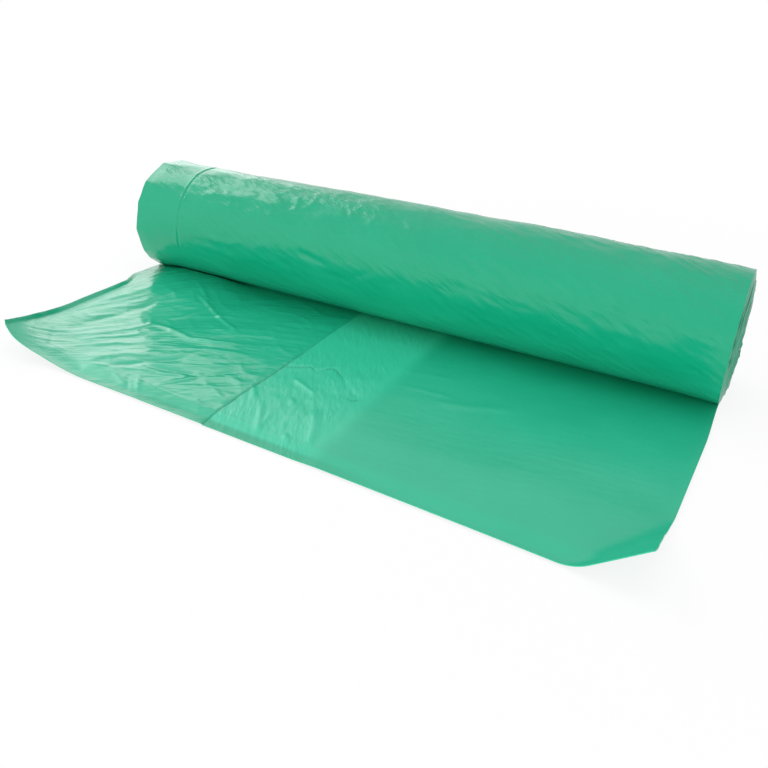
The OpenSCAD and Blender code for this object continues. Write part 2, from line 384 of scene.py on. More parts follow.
def plateau(value, start, top, top_end, end):
    """0 up to start, 1 from top to top_end, and 0 again from end"""
    return smooth_step(value, start, top) * (1 - smooth_step(value, top_end, end))


def window(value, low, high, soft):
    """1 between low and high, fading to 0 over the distance soft outside them"""
    return plateau(value, low - soft, low, high, high + soft)


def zone(x, y, limits):
    """1 in a patch, fading to 0 round it: low, high and soft for x, and the same for y"""
    return window(x, *limits[0]) * window(y, *limits[1])


def bell(value, centre, half_width):
    """1 at the centre, falling away smoothly on both sides"""
    return np.exp(-((value - centre) / half_width) ** 2)


# How near its ends a pressed line stops sinking, how soon it is at its full height, and how
# steep its flanks are
LINE_ENDS = (0.03, 0.97)
LINE_RISE = 1.6
LINE_STEEPNESS = 2.5


def pressed_line(x, y, points, height, width):
    """A ridge or groove of that height along a line of points, fading at both ends"""
    nearest = np.full(x.shape, np.inf)
    share = np.zeros(x.shape)
    last = len(points) - 1
    for k in range(last):
        (ax, ay), (bx, by) = points[k], points[k + 1]
        dx, dy = bx - ax, by - ay
        along = np.clip(((x - ax) * dx + (y - ay) * dy) / (dx * dx + dy * dy), 0, 1)
        gap = np.hypot(x - ax - along * dx, y - ay - along * dy)
        closer = gap < nearest
        nearest = np.where(closer, gap, nearest)
        share = np.where(closer, (k + along) / last, share)
    fade = np.clip(np.sin(math.pi * np.clip(share, *LINE_ENDS)) * LINE_RISE, 0, 1)
    return height * fade * np.exp(-LINE_STEEPNESS * (nearest / width) ** 2)


class Web:
    """Shape of the folded film, wound and laid, from the sizes in the panel

    s is a place across the film, from its left edge, in metres. t goes along the loose end, from
    0 at the nip to 1 at the front edge. above is an angle round the roll, in degrees above the
    level of its axis on the front.
    """

    # Corners of the left rim, in degrees above the level of the axis on the front, and how far
    # along the roll they show, in metres
    RIM_CORNERS = (-65, -46, -33, -6, 22, 46, 78, 108, 150, 195, 250)
    RIM_LENGTH = 0.015
    # How far from the right end its squeeze and the flare of its corner start, in metres
    SQUEEZE_LENGTH = 0.040
    FLARE_LENGTH = 0.040
    # Middle and half width of the front edge's bulge, in millimetres from its left corner
    BULGE = (14, 13)
    # Layers of relief on the roll, as swells and ridges take them, in millimetres
    ROLL_DENTS = ((0.7, 60, 26, 1), (0.45, 24, 12, 2), (0.2, 12, 6.5, 8))
    SLANT_RIDGES = ((0.22, 34, 6, 3), (0.15, 20, 3.6, 4))
    RUMPLE_SWELLS = ((0.36, 19, 10, 10),)
    RUMPLE_RIDGES = ((0.24, 16, 6, 12),)
    CRINKLE_RIDGES = ((0.2, 16, 6, 5),)
    CRINKLE_CROSSINGS = ((0.14, 9, 5, 6),)
    CORNER_RIDGES = ((0.3, 26, 4.2, 7),)
    # Their directions, in degrees from the roll's length
    SLANT = -26
    CRINKLE_SLANT = -50
    CORNER_SLANT = -43
    # Their zones: millimetres along the roll, and degrees above the level of the axis
    RUMPLE_ZONE = ((-125, 150, 20), (-12, 74, 20))
    CRINKLE_ZONE = ((-128, 8, 16), (36, 84, 12))
    CORNER_ZONE = ((112, 160, 12), (48, 100, 12))
    # Angles between which the roll is wrinkled at all, most wrinkled, and creased, in degrees
    # above the level of the axis, and the share of the wrinkles that the back keeps
    WRINKLED = (-70, -50, 225, 250)
    MOST_WRINKLED = (-20, 120, 25)
    CREASED = (-38, -5, 200, 240)
    BACK_SHARE = 0.35
    # Layers of relief on the loose end, in the same way: folds on the left panel, crumples on
    # the band, and a calm right panel
    FOLD_SWELLS = ((0.5, 46, 24, 12),)
    FOLD_RIDGES = ((0.2, 46, 14, 11),)
    FOLD_LINES = ((0.14, 26, 7, 13),)
    FOLD_CROSSINGS = ((0.24, 22, 14, 14),)
    LEFT_SWELLS = ((0.36, 24, 15, 15),)
    LEFT_LINES = ((0.12, 13, 8, 16),)
    CRUMPLE_RIDGES = ((0.15, 22, 5, 17), (0.1, 11, 3, 19))
    CRUMPLE_SWELLS = ((0.3, 20, 16, 18),)
    CALM_SWELLS = ((0.12, 70, 16, 20),)
    CALM_RIDGES = ((0.04, 40, 6, 21),)
    # How the wrinkles run: on the left panel, how much shorter they are, how they slope, and
    # where and how they bend, in millimetres; on the band and the right panel, their direction
    # in degrees
    FAN_SHORTER = 1.2
    FAN_SLOPE = 0.36
    FAN_BEND_AT = -50
    FAN_BEND = 8.3e-5
    BAND_SLANT = -62
    CALM_SLANT = 10
    # Spans of the loose end's rises, in shares of its length or in millimetres from its edges
    PUCKER_SPAN = (0.18, 0.31, 0.31, 0.72)
    PUFF_SPAN = (0, 26, 45, 80)
    LOFT_SPAN = (1, 12, 30, 65)
    # How far the waves shift sideways from the nip to the front edge, as an angle of their
    # cycle, and where they end
    SWELL_SHIFT = math.radians(150)
    SWELL_END = 0.95
    # The seal's ridge and the rounded edge of the left fold, in millimetres
    SEAL_HEIGHT = 0.14
    SEAL_WIDTH = 0.7
    SEAL_STRONGEST = (95, 150, 20)
    FOLD_EDGE_HEIGHT = 0.06
    FOLD_EDGE_AT = -1.4
    # How softly, in metres, the loose end's dips even out where they reach the table
    SOFT_FLOOR = 0.0001

    def __init__(self, scene):
        self.roll = scene.bag_roll_sizes
        self.loose = scene.bag_loose_sizes
        self.wrinkling = scene.bag_film_look.wrinkling
        self.left_end = -self.roll.length / 2
        self.left_fold = self.loose.gusset_width
        self.right_fold = self.loose.gusset_width + self.loose.band_width

    def thickness(self, s):
        """Four plies, and two between the folds"""
        past_left = smooth_step(s, self.left_fold - 0.0004, self.left_fold + 0.0004)
        before_right = 1 - smooth_step(s, self.right_fold - 0.008, self.right_fold + 0.006)
        return self.loose.ply * (4 - 2 * past_left * before_right)

    def radius(self, s):
        """Radius of the barrel, which is fattest right of its middle"""
        roll = self.roll
        to_left = np.clip((roll.fat_at - s) / roll.fat_at, 0, 1)
        to_right = np.clip((s - roll.fat_at) / (roll.length - roll.fat_at), 0, 1)
        return roll.diameter / 2 - roll.left_slim * to_left ** 1.5 - roll.right_slim * to_right ** 3.5

    def axis_height(self, s):
        """Height of the roll's axis above the table, which the flat spot lowers a little"""
        return np.sqrt(self.radius(s) ** 2 - (self.roll.flat_width / 2) ** 2)

    def nip_angle(self, s):
        """Angle round the axis at which the laid film meets the roll"""
        drop = self.axis_height(s) - self.thickness(s)
        return np.arctan2(-drop, -np.sqrt(self.radius(s) ** 2 - drop ** 2))

    def nip_y(self, s):
        """Place of the nip, in front of the axis, where the laid film meets the roll"""
        return self.radius(s) * np.cos(self.nip_angle(s))

    def rim_shape(self, s, above):
        """The flats of the left rim, which fade out along the roll"""
        fade = 1 - smooth_step(s, 0.0, self.RIM_LENGTH)
        shape = np.zeros(s.shape)
        corner = self.roll.diameter / 2 + self.roll.rim_flats
        for a, b in zip(self.RIM_CORNERS[:-1], self.RIM_CORNERS[1:]):
            half = math.radians(b - a) / 2
            off = np.radians(above) - math.radians(a + b) / 2
            flat = corner * math.cos(half) / np.cos(np.clip(off, -half, half)) - self.roll.diameter / 2
            shape = np.where(np.abs(off) <= half, flat, shape)
        return shape * fade

    def place_round(self, above):
        """Millimetres round the roll up to an angle in degrees"""
        return above * math.pi / 180 * self.roll.diameter / 2 / MM

    def roll_wrinkles(self, x, above):
        """Height of the outer turn's dents and wrinkles, in millimetres"""
        q = self.place_round(above)
        along, across = turned(x, q, self.SLANT)
        slant = ridges(along, across, self.SLANT_RIDGES) * (0.35 + 0.65 * smooth_step(x, 0, 40))
        rumple = swells(x, q, self.RUMPLE_SWELLS) + ridges(along, across, self.RUMPLE_RIDGES)
        along, across = turned(x, q, self.CRINKLE_SLANT)
        crinkle = ridges(along, across, self.CRINKLE_RIDGES) + ridges(x, q, self.CRINKLE_CROSSINGS)
        along, across = turned(x, q, self.CORNER_SLANT)
        corner = ridges(along, across, self.CORNER_RIDGES)
        height = swells(x, q, self.ROLL_DENTS) + slant
        height = height + rumple * zone(x, above, self.RUMPLE_ZONE)
        height = height + crinkle * zone(x, above, self.CRINKLE_ZONE)
        height = height + corner * zone(x, above, self.CORNER_ZONE)
        for points, rise, width in ROLL_WRINKLES:
            on_skin = [(px, self.place_round(degrees)) for px, degrees in points]
            height = height + pressed_line(x, q, on_skin, rise, width)
        return height

    def roll_relief(self, s, angle):
        """Height of the outer turn's wrinkles, crease, squeezed end and rim, in metres"""
        above = 180 - np.degrees(angle)
        height = self.roll_wrinkles((self.left_end + s) / MM, above)
        strength = self.BACK_SHARE + (1 - self.BACK_SHARE) * window(above, *self.MOST_WRINKLED)
        height = height * strength * plateau(above, *self.WRINKLED) * self.wrinkling
        past = (s - self.roll.crease_at) / MM
        crease = (bell(past, 0, 0.5) - 0.4 * bell(past, -1.3, 0.7)) * plateau(above, *self.CREASED)
        near_end = np.clip((s - self.roll.length) / self.SQUEEZE_LENGTH + 1, 0, 1) ** 2
        squeeze = -self.roll.right_squeeze * near_end * np.cos(2 * angle)
        rim = self.rim_shape(s, above)
        return height * MM + squeeze + rim - self.roll.crease_depth * crease

    def laid(self, s, t):
        """Place of the flat loose end, at s across the web and a share t of its length"""
        loose, roll = self.loose, self.roll
        u = s / roll.length
        reach = loose.left_reach + (loose.right_reach - loose.left_reach) * u
        reach = reach + loose.front_bow * 4 * u * (1 - u)
        reach = reach + loose.corner_bulge * bell(s / MM, *self.BULGE)
        flared = smooth_step(s, roll.length - self.FLARE_LENGTH, roll.length)
        reach = reach + loose.front_flare * flared
        run = np.clip(t, 0, 1)
        pucker = loose.left_pucker * plateau(t, *self.PUCKER_SPAN)
        edge_left = loose.left_lean * run ** loose.lean_power + pucker
        edge_right = loose.right_spread * run + loose.right_start * smooth_step(t, 0, 0.3)
        edge_right = edge_right + loose.side_flare * smooth_step(t, 0.72, 1)
        middle = loose.fold_drift * run
        in_left = edge_left + (middle - edge_left) * s / self.left_fold
        past = (s - self.right_fold) / (roll.length - self.right_fold)
        in_right = middle + (edge_right - middle) * past
        lean = np.where(s < self.left_fold, in_left, np.where(s < self.right_fold, middle, in_right))
        nip = self.nip_y(s)
        return self.left_end + s + lean, nip - (reach + nip) * t, reach

    def flow(self, s, x, y):
        """Coordinates along and across the wrinkles of the loose end, in millimetres"""
        bend = np.minimum(x - self.FAN_BEND_AT, 0)
        fan_along = x * self.FAN_SHORTER
        fan_across = y - self.FAN_SLOPE * x - bend ** 3 * self.FAN_BEND
        band_along, band_across = turned(x, y, self.BAND_SLANT)
        calm_along, calm_across = turned(x, y, self.CALM_SLANT)
        past_left = s > self.left_fold
        past_right = s > self.right_fold
        along = np.where(past_right, calm_along, np.where(past_left, band_along, fan_along))
        across = np.where(past_right, calm_across, np.where(past_left, band_across, fan_across))
        return along, across

    def loose_rise(self, t, from_left, from_front, beside):
        """Height of the loose end's gentle waves and of its raised edges, in metres

        The distances from its edges are in millimetres.
        """
        loose = self.loose
        wave = np.sin(2 * math.pi * from_left * MM / loose.swell_length + self.SWELL_SHIFT * t)
        arch = np.sin(math.pi * np.clip(t / self.SWELL_END, 0, 1))
        swell = loose.swell_height * arch * (1 + wave) / 2 * smooth_step(beside, 0, 15)
        lift = loose.edge_lift * smooth_step(t, 0.1, 0.35) * (1 - smooth_step(from_left, 0, 3.5))
        lift = lift * (1 - 0.5 * smooth_step(t, 0.8, 0.95))
        puff = loose.puff * plateau(from_left, *self.PUFF_SPAN) * plateau(t, 0, 0.08, 0.25, 0.5)
        loft = loose.loft * plateau(from_front, *self.LOFT_SPAN)
        return swell + lift + puff + loft

    def loose_wrinkles(self, s, t, x, y):
        """Height of the loose end's wrinkles, in millimetres"""
        left = 1 - smooth_step(s, self.left_fold - 0.003, self.left_fold)
        right = smooth_step(s, self.right_fold - 0.004, self.right_fold + 0.006)
        middle = (1 - left) * (1 - right)
        along, across = self.flow(s, x, y)
        patch = smooth_step(soft_noise(x / 34, y / 28, 22), -0.25, 0.35)
        folds = swells(along, across, self.FOLD_SWELLS) + ridges(along, across, self.FOLD_RIDGES)
        folds = folds + patch * ridges(along, across, self.FOLD_LINES)
        folds = folds + (1 - patch) * ridges(x, y + 0.7 * x, self.FOLD_CROSSINGS)
        folds = folds + swells(x, y, self.LEFT_SWELLS) + ridges(x, y - 0.4 * x, self.LEFT_LINES)
        crumpled = smooth_step(t, 0.42, 0.56) * (1 - 0.7 * smooth_step(x, 14, 26))
        crumple = ridges(along, across, self.CRUMPLE_RIDGES) * (0.2 + 0.8 * crumpled)
        crumple = crumple + swells(x, y, self.CRUMPLE_SWELLS)
        calm = swells(along, across, self.CALM_SWELLS) + ridges(along, across, self.CALM_RIDGES)
        height = folds * left + crumple * middle + calm * right
        for points, rise, width in LOOSE_WRINKLES:
            height = height + pressed_line(x, y, points, rise, width)
        return height

    def loose_relief(self, s, t, x, y, reach):
        """Height of the loose end's rises, wrinkles, seal and fold, in metres"""
        from_left = s / MM
        from_right = (self.roll.length - s) / MM
        beside = np.minimum(from_left, from_right)
        from_front = reach * (1 - t) / MM
        wrinkles = self.loose_wrinkles(s, t, x / MM, y / MM) * self.wrinkling
        inset = self.loose.seal_inset / MM
        # The wrinkles are weaker along the edges and the seal, and go out in the nip
        free = 0.25 + 0.75 * smooth_step(from_front, 4, inset + 4)
        free = free * (0.3 + 0.7 * smooth_step(beside, 2, 10)) * smooth_step(t, 0.0, 0.12)
        seal = self.SEAL_HEIGHT * bell(from_front, inset, self.SEAL_WIDTH) * (s <= self.right_fold)
        seal = seal * (0.3 + 0.7 * window(from_left, *self.SEAL_STRONGEST))
        past_fold = (s - self.left_fold) / MM
        fold_edge = self.FOLD_EDGE_HEIGHT * bell(past_fold, self.FOLD_EDGE_AT, 1.0)
        fold_edge = fold_edge * smooth_step(t, 0.35, 0.5)
        height = self.loose_rise(t, from_left, from_front, beside)
        height = height + (wrinkles * free + seal + fold_edge) * MM
        return (height + np.sqrt(height ** 2 + self.SOFT_FLOOR ** 2)) / 2

    def curled(self, x, y, height):
        """The curled corners: points of the flat web, at a height above it, in their place"""
        loose, roll = self.loose, self.roll
        points = np.stack([x, y, height], axis=1)
        curls = (
            (0.0, loose.left_curl_angle, loose.left_curl_reach, loose.left_curl_radius, math.pi / 2),
            (roll.length, loose.right_curl_angle, loose.right_curl_reach, loose.right_curl_radius,
             loose.right_curl_rise),
        )
        for s, direction, reach, radius, limit in curls:
            corner_x, corner_y, _ = self.laid(np.array([s]), np.array([1.0]))
            c, d = math.cos(direction), math.sin(direction)
            past = np.maximum(0, (x - corner_x) * c + (y - corner_y) * d + reach)
            bend = np.minimum(past / radius, limit)
            straight = past - radius * bend
            shift = (radius - height) * np.sin(bend) + straight * np.cos(bend) - past
            shift = np.where(past > 0, shift, 0)
            rise = (radius - height) * (1 - np.cos(bend)) + straight * np.sin(bend)
            points = points + np.stack([c * shift, d * shift, rise], axis=1)
        return points


def grid_mesh(name, columns, rows):
    """A flat grid from 0 to 1 each way, as a new mesh"""
    bm = bmesh.new()
    bmesh.ops.create_grid(bm, x_segments=columns, y_segments=rows, size=0.5)
    bmesh.ops.translate(bm, verts=bm.verts, vec=(0.5, 0.5, 0))
    mesh = bpy.data.meshes.new(name)
    bm.to_mesh(mesh)
    bm.free()
    return mesh


def read_points(mesh):
    """The mesh's points as rows of x, y and z"""
    points = np.zeros(len(mesh.vertices) * 3, np.float32)
    mesh.vertices.foreach_get("co", points)
    return points.reshape(-1, 3).astype(float)


def write_points(mesh, points):
    mesh.vertices.foreach_set("co", points.astype(np.float32).ravel())
    mesh.update()


def add_attribute(mesh, name, values):
    attribute = mesh.attributes.new(name, "FLOAT", "POINT")
    attribute.data.foreach_set("value", values.astype(np.float32))


def add_grain(mesh, along, across, fine):
    """Where a point lies along and across the fine wrinkles, and how strong they are there"""
    values = np.stack([along, across, along * 0], axis=1)
    attribute = mesh.attributes.new("grain", "FLOAT_VECTOR", "POINT")
    attribute.data.foreach_set("vector", values.astype(np.float32).ravel())
    add_attribute(mesh, "fine", fine)


def finish_mesh(mesh, name, material):
    """Merges doubles, points the faces outwards, and makes the piece"""
    bm = bmesh.new()
    bm.from_mesh(mesh)
    bmesh.ops.remove_doubles(bm, verts=bm.verts, dist=SAME_PLACE)
    bmesh.ops.recalc_face_normals(bm, faces=bm.faces)
    for face in bm.faces:
        face.smooth = True
    for edge in bm.edges:
        edge.smooth = not edge.is_boundary and edge.calc_face_angle(0.0) < CRISP_ANGLE
    bm.to_mesh(mesh)
    bm.free()
    piece = bpy.data.objects.new(name, mesh)
    bpy.context.scene.collection.objects.link(piece)
    mesh.materials.append(material)
    return piece


def hand_over(piece):
    """The piece rides on the part's one body and stands for its one node"""
    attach(piece, "root")
    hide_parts(NODE)


class Value:
    """A socket of a node tree that can be reckoned with"""

    def __init__(self, tree, socket):
        self.tree = tree
        self.socket = socket

    def math(self, operation, *others, clamp=False):
        node = self.tree.node("ShaderNodeMath", {"operation": operation, "use_clamp": clamp},
                              {0: self, **{k + 1: other for k, other in enumerate(others)}})
        return node.out(0)

    def __add__(self, other):
        return self.math("ADD", other)

    def __sub__(self, other):
        return self.math("SUBTRACT", other)

    def __mul__(self, other):
        return self.math("MULTIPLY", other)

    def __rsub__(self, other):
        return (self * -1).math("ADD", other)

    __radd__ = __add__
    __rmul__ = __mul__

    def clamped(self):
        return self.math("ADD", 0, clamp=True)


class Made:
    """A node that has been made, with its outputs as values"""

    def __init__(self, tree, node):
        self.tree = tree
        self.node = node

    def out(self, key):
        return Value(self.tree, self.node.outputs[key])


class Tree:
    """Node tree of a material or a world"""

    def __init__(self, owner):
        owner.use_nodes = True
        self.nodes = owner.node_tree.nodes
        self.links = owner.node_tree.links
        self.nodes.clear()

    def node(self, kind, settings=None, sockets=None):
        node = self.nodes.new(kind)
        for key, value in (settings or {}).items():
            setattr(node, key, value)
        for key, value in (sockets or {}).items():
            if isinstance(value, Value):
                self.links.new(value.socket, node.inputs[key])
            else:
                node.inputs[key].default_value = value
        return Made(self, node)

    def mix_colours(self, share, a, b):
        sockets = {"Factor": share, 6: a, 7: b}
        return self.node("ShaderNodeMix", {"data_type": "RGBA"}, sockets).out(2)

    def attribute(self, name, output="Fac"):
        return self.node("ShaderNodeAttribute", {"attribute_name": name}).out(output)

    def stretched(self, place, scale):
        return self.node("ShaderNodeMapping", {}, {"Vector": place, "Scale": scale}).out(0)

    def noise(self, place, scale, detail=2.0):
        sockets = {"Vector": place, "Scale": scale, "Detail": detail}
        return self.node("ShaderNodeTexNoise", {}, sockets).out("Fac")


def four(colour):
    return (colour[0], colour[1], colour[2], 1.0)


# Index of refraction that the film's gloss goes by
FILM_IOR = 1.46
# Swings of the film's three noises in a metre
MOTTLE_SCALE = 38.0
CLOUD_SCALE = 130.0
GRAIN_SCALE = 420.0
# The film was drawn out along its length, so the two finer noises are longer that way
DRAWN = (1.0, 0.35, 1.0)
# Swings of the fine wrinkles in a millimetre, along them and across them
WRINKLE_SCALE = (0.1, 0.36, 0.0)
# How much the noises change the share of paler colour and the roughness, and how much rougher
# the matt places are
MOTTLE_THIN = 0.25
MOTTLE_ROUGH = 0.05
CLOUD_ROUGH = 0.03
MATT_ROUGH = 0.3
# Heights of the bumps in millimetres
GRAIN_HEIGHT = 0.012
CLOUD_HEIGHT = 0.11
WRINKLE_HEIGHT = 0.5


def film_material(look):
    """Satin film: deep green where it lies thick, paler where two plies show the floor and, as painted
    light, on the roll's underside, with painted shade in the gaps, the left fold and the creases
    """
    material = bpy.data.materials.new("satin_film")
    tree = Tree(material)
    place = tree.node("ShaderNodeTexCoord").out("Object")
    stretched = tree.stretched(place, DRAWN)
    along_wrinkles = tree.stretched(tree.attribute("grain", "Vector"), WRINKLE_SCALE)
    mottle = tree.noise(place, MOTTLE_SCALE)
    grain = tree.noise(stretched, GRAIN_SCALE)
    cloud = tree.noise(stretched, CLOUD_SCALE)
    # The pale share is the colour of two plies on the loose end, and on the roll's underside it is
    # painted light
    thin = (tree.attribute("thin") + (mottle - 0.5) * MOTTLE_THIN).clamped()
    colour = tree.mix_colours(thin, four(look.deep), four(look.pale))
    # Painted shade from the gap attribute: the gap green in the gaps between the turns, the left
    # fold's line and the sharp creases
    colour = tree.mix_colours(tree.attribute("gap"), colour, four(look.gap))
    roughness = (mottle - 0.5) * MOTTLE_ROUGH + (cloud - 0.5) * CLOUD_ROUGH + look.roughness
    roughness = roughness + tree.attribute("matt") * MATT_ROUGH
    wrinkles = tree.noise(along_wrinkles, 1.0, 3.0) * tree.attribute("fine")
    height = grain * GRAIN_HEIGHT + cloud * CLOUD_HEIGHT + wrinkles * WRINKLE_HEIGHT
    bump = tree.node("ShaderNodeBump", {}, {"Strength": 1.0, "Distance": MM, "Height": height})
    shader = tree.node("ShaderNodeBsdfPrincipled", {}, {
        "Base Color": colour, "Roughness": roughness, "IOR": FILM_IOR, "Normal": bump.out(0)})
    tree.node("ShaderNodeOutputMaterial", {}, {"Surface": shader.out(0)})
    return material


# How white the floor looks round the object, how far from the middle it starts to get whiter,
# in metres, and how fast that goes, as the share gained in a metre
NEAR_WHITE = 0.85
WHITER_FROM = 0.22
WHITENING = 4


def seen_rays(paths):
    """1 for the rays that show a surface to the camera, straight, in gloss or through glass"""
    return (paths.out("Is Camera Ray") + paths.out("Is Glossy Ray")
            + paths.out("Is Transmission Ray")).clamped()


def floor_material(look):
    """Pale floor that reads white around the object and keeps its shadow"""
    material = bpy.data.materials.new("pale_floor")
    tree = Tree(material)
    paths = tree.node("ShaderNodeLightPath")
    plain = tree.node("ShaderNodeBsdfDiffuse", {}, {"Color": four(look.floor)}).out(0)
    white = tree.node("ShaderNodeEmission", {}, {"Strength": 1.0}).out(0)
    place = tree.node("ShaderNodeTexCoord").out("Object")
    away = tree.node("ShaderNodeVectorMath", {"operation": "LENGTH"}, {0: place}).out("Value")
    beyond = ((away - WHITER_FROM) * WHITENING).clamped()
    seen = seen_rays(paths) * (beyond * (1 - NEAR_WHITE) + NEAR_WHITE)
    mixed = tree.node("ShaderNodeMixShader", {}, {0: seen, 1: plain, 2: white}).out(0)
    tree.node("ShaderNodeOutputMaterial", {}, {"Surface": mixed})
    return material


def white_world(look):
    """White to the camera and in reflections, and an even light on everything else"""
    world = bpy.data.worlds.new("studio")
    bpy.context.scene.world = world
    tree = Tree(world)
    seen = seen_rays(tree.node("ShaderNodeLightPath"))
    plain = {"Color": (1, 1, 1, 1)}
    even = tree.node("ShaderNodeBackground", {}, {**plain, "Strength": look.ambient}).out(0)
    white = tree.node("ShaderNodeBackground", {}, {**plain, "Strength": 1.0}).out(0)
    mixed = tree.node("ShaderNodeMixShader", {}, {0: seen, 1: even, 2: white}).out(0)
    tree.node("ShaderNodeOutputWorld", {}, {"Surface": mixed})


class BAGROLL_OT_wound_roll(bpy.types.Operator):
    """Build the wound roll: its outer turn with dents and wrinkles, and the turns on both ends"""
    bl_idname = "bag_roll.wound_roll"
    bl_label = "Wound Roll"

    # Faces round the roll and along it
    ROUND_STEPS = 168
    COLUMNS = 236
    # How the columns are shared out along the roll: most densely at the crease
    COLUMN_SHARES = (0.0, 0.075, 0.15, 1.0)
    CREASE_REACH = 0.004
    # Points of the skin and of the end strips this close are the same point, and edges this
    # close to an end belong to it, in metres
    SEAM_REACH = 2e-5
    NEAR_END = 0.02
    # Across each layer: share of its pitch, how far it sinks in millimetres, and how dark its
    # gap is there as painted shade, from 0 to 1
    LAYER_PROFILE = (
        (0.0, 0.0, 0.7), (0.18, 0.2, 0.15), (0.3, 0.0, 0.0), (0.46, 0.2, 0.15),
        (0.6, 0.03, 0.0), (0.74, 0.12, 0.1), (0.8, 0.8, 0.55), (0.9, 1.45, 0.8),
        (1.0, 0.0, 0.7),
    )
    # Over how many turns the slip sets in, and its random parts in millimetres
    SLIP_SETS_IN = 2.5
    LAYER_WANDER = 0.8
    ROUND_WANDER = 0.5
    # Where the layers have slipped further: angle from the back's level and half width in
    # degrees, and how far in millimetres
    LOW_SLIP = (214, 34)
    LOW_SLIP_DEPTH = 0.9
    # Gaps under the outermost layers: angle from the back's level, and half width, in degrees
    RIM_GAPS = ((148, 8), (167, 6), (184, 4))
    # Turns over which the gaps of the rim give way to those of the inner layers
    RIM_TURNS = (2.2, 2.8)
    # How far a shut gap is open, and over how many steps from the nip the gaps open
    SHUT = 0.05
    OPENING_STEPS = 20
    # Least sine of an angle whose ray is carried down to the table
    LEAST_SINE = 0.01
    # How matt the outer turn is, and the ends of the layers, and how dark the inner layers are
    SKIN_MATT = 0.15
    ENDS_MATT = 0.6
    ENDS_DARK = 0.3
    # How much paler the roll's underside is painted: painted light that stands in for the light
    # reaching the film under the roll, near the nip
    UNDER_PAINTED_LIGHT = 0.3
    # Strength of the fine wrinkles everywhere, and what their patches and the crinkled zone add
    FINE_ALL_OVER = 0.4
    FINE_IN_PATCHES = 0.7
    FINE_CRINKLED = 0.9
    # Patch with most of the fine wrinkles: millimetres along the roll from its left end, and
    # degrees above the level of the axis
    CRINKLED_ZONE = ((36, 175, 16), (36, 90, 14))
    # Distances from the ends, in metres, between which the fine wrinkles fade in
    FINE_FROM = 0.0016
    FINE_FULL = 0.006

    def outline(self, web, s, step):
        """Angle and radius of the outline at a step round the roll, from under the nip"""
        share = step / self.ROUND_STEPS
        angle = web.nip_angle(s) + 2 * math.pi * share
        whole = web.radius(s) + web.roll_relief(s, angle)
        to_floor = web.axis_height(s) / np.maximum(self.LEAST_SINE, -np.sin(angle))
        before = angle < -math.pi / 2
        under = angle < 0
        radius = np.where(before, to_floor, np.where(under, np.minimum(whole, to_floor), whole))
        return angle, radius

    def skin(self, web):
        """The outer turn, whose last row goes back to the first to close the nip"""
        mesh = grid_mesh("skin", self.COLUMNS, self.ROUND_STEPS + 1)
        flat = read_points(mesh)
        crease = web.roll.crease_at
        places = (0.0, crease - self.CREASE_REACH, crease + self.CREASE_REACH, web.roll.length)
        s = np.interp(flat[:, 0], self.COLUMN_SHARES, places)
        step = np.round(flat[:, 1] * (self.ROUND_STEPS + 1)) % (self.ROUND_STEPS + 1)
        angle, radius = self.outline(web, s, step)
        y = radius * np.cos(angle)
        z = web.axis_height(s) + radius * np.sin(angle)
        write_points(mesh, np.stack([web.left_end + s, y, z], axis=1))
        add_attribute(mesh, "gap", np.zeros(len(s)))
        around = -angle * web.roll.diameter / 2
        along, across = turned((web.left_end + s) / MM, around / MM, web.SLANT)
        patchy = smooth_step(soft_noise(along / 30, across / 16, 9), -0.3, 0.3)
        above = 180 - np.degrees(angle)
        crinkled = zone(s / MM, above, self.CRINKLED_ZONE)
        from_end = np.minimum(s, web.roll.length - s)
        fine = self.FINE_ALL_OVER + (self.FINE_IN_PATCHES + self.FINE_CRINKLED * crinkled) * patchy
        fine = fine * smooth_step(from_end, self.FINE_FROM, self.FINE_FULL)
        add_grain(mesh, along, across, fine)
        add_attribute(mesh, "matt", np.full(len(s), self.SKIN_MATT))
        # Painted light: the roll's underside gets the paler colour, from about 10 degrees below the
        # level of its axis downwards
        add_attribute(mesh, "thin", self.UNDER_PAINTED_LIGHT * (1 - smooth_step(above, -50, -10)))
        return mesh

    def end(self, web, s_end, inward):
        """The spiral of layers on one end, as a strip wound from the nip to the eye"""
        roll = web.roll
        lines = len(self.LAYER_PROFILE) - 1
        steps = self.ROUND_STEPS * roll.layers
        mesh = grid_mesh("turns", steps, lines)
        flat = read_points(mesh)
        step = np.round(flat[:, 0] * steps)
        line = np.round(flat[:, 1] * lines).astype(int)
        share, sink, dark = np.array(self.LAYER_PROFILE)[line].T
        share = np.where(step == 0, np.round(share), share)
        turn = step / self.ROUND_STEPS + share
        s = np.full(len(step), s_end)
        loop = step % self.ROUND_STEPS
        angle, edge = self.outline(web, s, loop)
        lap = web.thickness(s) * (1 - loop / self.ROUND_STEPS)
        pitch = (web.radius(s) - roll.eye_radius) / roll.layers
        outer = self.line_radius(web, s, step - self.ROUND_STEPS, edge, lap, pitch)
        inner = self.line_radius(web, s, step, edge, lap, pitch)
        radius = outer + (inner - outer) * share
        opening = np.clip(step / self.OPENING_STEPS, 0, 1) * self.opened(turn, angle)
        stand = self.slipped(roll, turn, angle)
        x = web.left_end + s_end + stand + inward * sink * MM * opening
        y = radius * np.cos(angle)
        z = web.axis_height(s) + radius * np.sin(angle)
        write_points(mesh, np.stack([x, y, z], axis=1))
        # The ends of the inner layers get a little of the gap green, and more of it as painted shade
        # in the open gaps between the turns
        add_attribute(mesh, "gap", np.where(turn < 1, 0, self.ENDS_DARK + dark * opening))
        on_skin = (line == 0) & (step < self.ROUND_STEPS)
        add_attribute(mesh, "matt", np.where(on_skin, self.SKIN_MATT, self.ENDS_MATT))
        add_attribute(mesh, "thin", np.zeros(len(turn)))
        add_grain(mesh, turn, share, np.zeros(len(turn)))
        return mesh

